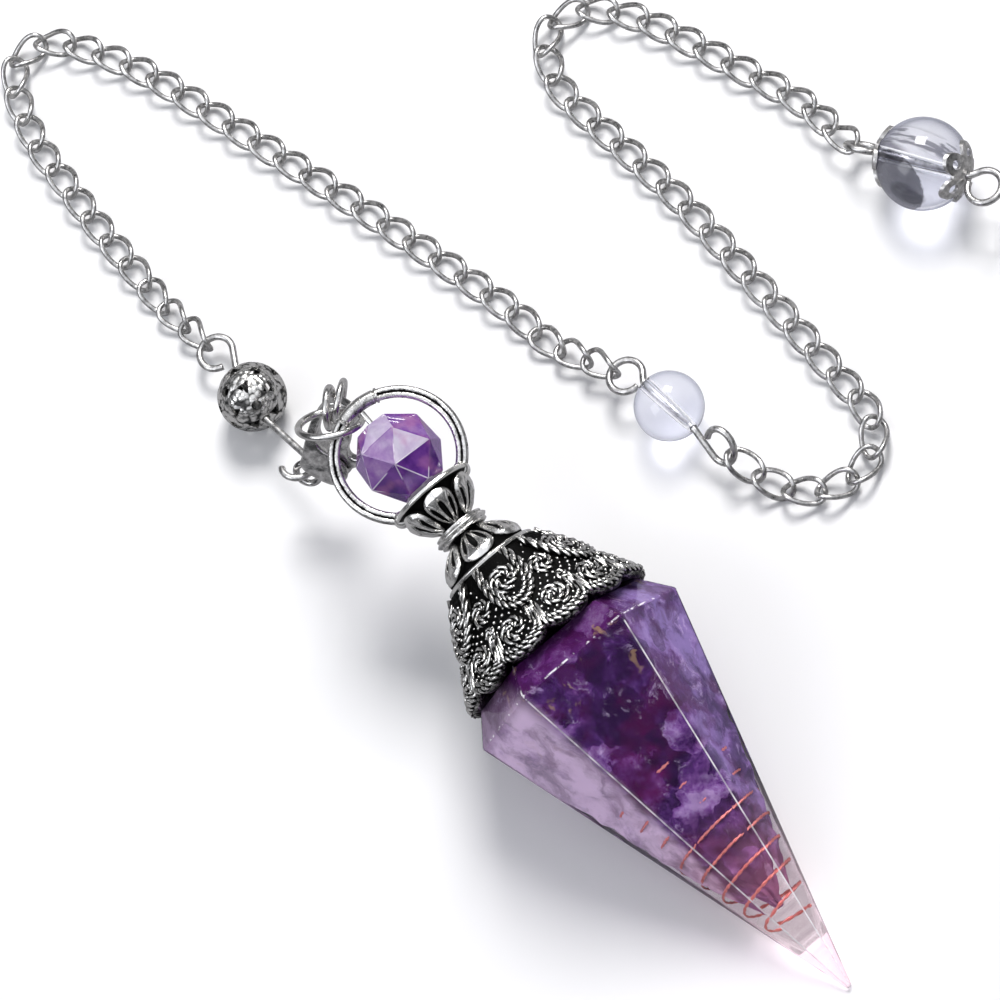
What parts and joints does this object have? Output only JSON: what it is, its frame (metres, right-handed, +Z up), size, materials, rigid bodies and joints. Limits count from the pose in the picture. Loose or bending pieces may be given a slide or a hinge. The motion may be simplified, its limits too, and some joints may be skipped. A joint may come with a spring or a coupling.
{
  "type": "pendulum pendant",
  "caption": "Pendulum pendant: a six-sided resin point with amethyst and copper coil, cast silver cap and ring, sprung clasp and a fine chain with three beads.",
  "frame": {"origin": "centre of the whole laid-out pendant, on the surface it lies on", "axes": "+Y from the tip of the point towards the chain's far bends, +X from the pendant towards the end bead, +Z up"},
  "size_m": [0.0856, 0.1557, 0.0245],
  "materials": {
    "clear_resin": "polished resin",
    "amethyst": "cloudy chips cast in resin",
    "copper": "bright copper wire",
    "antique_silver": "darkened in its recesses",
    "bright_silver": "polished",
    "chain_silver": "polished, slightly greyed",
    "cut_amethyst": "cut and polished",
    "clear_glass": "polished"
  },
  "bodies": {
    "pendant": {"resin_point": "clear_resin", "amethyst_core": "amethyst", "copper_coil": "copper", "cap_skirt": "antique_silver", "bail_finial": "antique_silver", "bail_pin": "bright_silver", "link_ring": "bright_silver", "jump_ring_1": "bright_silver", "jump_ring_2": "bright_silver", "clasp_body": "bright_silver", "filigree_bead": "antique_silver", "filigree_eye_pin": "bright_silver", "chain_long": "chain_silver", "middle_bead": "clear_glass", "middle_eye_pin": "bright_silver", "chain_short": "chain_silver", "end_bead": "clear_glass", "end_cap_inner": "antique_silver", "end_cap_outer": "antique_silver", "end_eye_pin": "bright_silver"},
    "lever": {"clasp_lever": "bright_silver"},
    "gem": {"faceted_bead": "cut_amethyst"}
  },
  "joints": [
    {"name": "gem_spin", "type": "hinge", "parent": "pendant", "child": "gem", "pos_m": [-0.029, -0.00397, 0.01922], "axis": [0, 0.9686, 0.2485], "continuous": true},
    {"name": "lever_hinge", "type": "hinge", "parent": "pendant", "child": "lever", "pos_m": [-0.03442, 0.00516, 0.00931], "axis": [-0.6433, -0.5253, 0.557], "range_deg": [0, 20], "stiffness_Nm_per_rad": 0.002, "springref_deg": -11.46}
  ]
}
